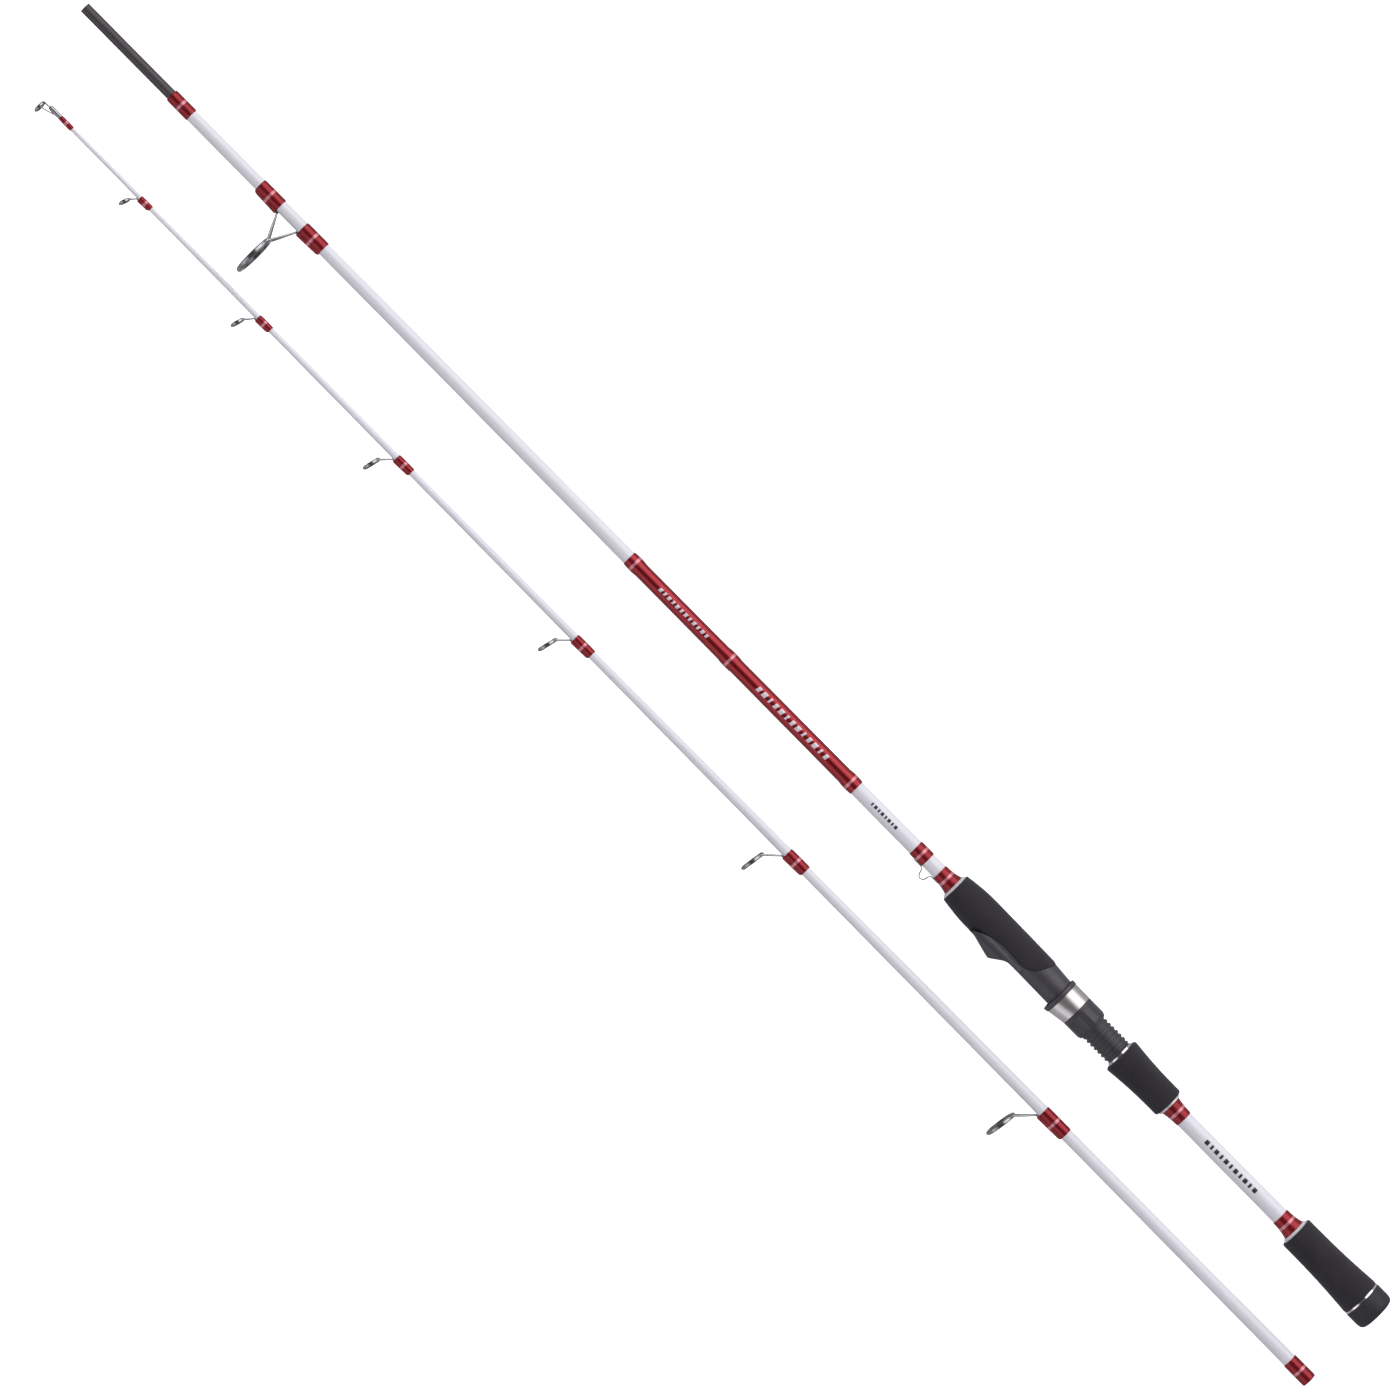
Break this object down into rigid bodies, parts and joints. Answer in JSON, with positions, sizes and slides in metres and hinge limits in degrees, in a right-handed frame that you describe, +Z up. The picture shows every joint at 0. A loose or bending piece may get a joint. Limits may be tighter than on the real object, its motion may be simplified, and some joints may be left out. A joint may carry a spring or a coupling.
{
  "type": "fishing rod",
  "caption": "Spinning rod with a put-over ferrule, its butt and tip sections lying side by side; foam grips, screw-down reel seat, wrapped line guides and a hook keeper.",
  "frame": {"origin": "middle of the outline of both sections, on the surface they lie on", "axes": "+X along the rod toward the tip, +Y toward the side that the guides and the reel are on, +Z up from the surface the rod lies on"},
  "size_m": [1.094, 0.103, 0.0285],
  "materials": {
    "white_blank": "white gloss lacquer over carbon fibre; the male ferrule is bare carbon",
    "eva_foam": "matte, fine closed-cell foam",
    "cap_rubber": "matte",
    "trim_metal": "bright",
    "check_plastic": "semi-gloss",
    "trim_thread": "metallic thread under clear resin",
    "red_metallic": "metallic red under clear resin",
    "red_thread": "metallic red thread under clear resin",
    "seat_plastic": "satin",
    "nut_plastic": "satin, fluted",
    "hood_steel": "satin",
    "arbor_tape": "resin-soaked tape",
    "ring_ceramic": "polished",
    "guide_steel": "bright"
  },
  "bodies": {
    "butt_section": {"butt_blank": "white_blank", "butt_cap": "cap_rubber", "butt_cap_ring": "trim_metal", "rear_grip": "eva_foam", "rear_grip_check": "check_plastic", "rear_grip_wrap": "red_thread", "mid_grip_wrap": "red_thread", "mid_grip_check": "check_plastic", "mid_grip": "eva_foam", "mid_grip_ring": "trim_metal", "reel_seat_body": "seat_plastic", "seat_arbors": "arbor_tape", "fore_grip": "eva_foam", "fore_grip_check": "check_plastic", "fore_grip_wrap": "red_thread", "hook_keeper": "guide_steel", "keeper_wrap": "red_thread", "red_skin": "red_metallic", "red_bands": "red_metallic", "stripping_guide_frame": "guide_steel", "stripping_guide_ring": "ring_ceramic", "stripping_rear_wrap": "red_thread", "stripping_front_wrap": "red_thread", "ferrule_wrap": "red_thread", "butt_trims": "trim_thread"},
    "moving_hood": {"hood_sleeve": "hood_steel", "hood_liner": "seat_plastic"},
    "lock_nut": {"lock_nut": "nut_plastic"},
    "tip_section": {"tip_blank": "white_blank", "socket_wrap": "red_thread", "tip_top_frame": "guide_steel", "tip_top_ring": "ring_ceramic", "tip_top_wrap": "red_thread", "tip_trims": "trim_thread", "guide_1_frame": "guide_steel", "guide_1_ring": "ring_ceramic", "guide_1_wrap": "red_thread", "guide_2_frame": "guide_steel", "guide_2_ring": "ring_ceramic", "guide_2_wrap": "red_thread", "guide_3_frame": "guide_steel", "guide_3_ring": "ring_ceramic", "guide_3_wrap": "red_thread", "guide_4_frame": "guide_steel", "guide_4_ring": "ring_ceramic", "guide_4_wrap": "red_thread", "guide_5_frame": "guide_steel", "guide_5_ring": "ring_ceramic", "guide_5_wrap": "red_thread", "guide_6_frame": "guide_steel", "guide_6_ring": "ring_ceramic", "guide_6_wrap": "red_thread"}
  },
  "joints": [
    {"name": "hood_slide", "type": "slide", "parent": "butt_section", "child": "moving_hood", "axis": [-1, 0, 0], "range_m": [0, 0.0202]},
    {"name": "nut_turn", "type": "hinge", "parent": "moving_hood", "child": "lock_nut", "pos_m": [-0.29945, -0.03865, 0.01425], "axis": [-1, 0, 0], "range_deg": [0, 2425]},
    {"name": "tip_section_slide", "type": "slide", "parent": "butt_section", "child": "tip_section", "axis": [1, 0, 0], "range_m": [0, 1.1]}
  ],
  "couplings": [
    {"joint": "nut_turn", "follows": "hood_slide", "rad_per_m": 2094.4}
  ]
}
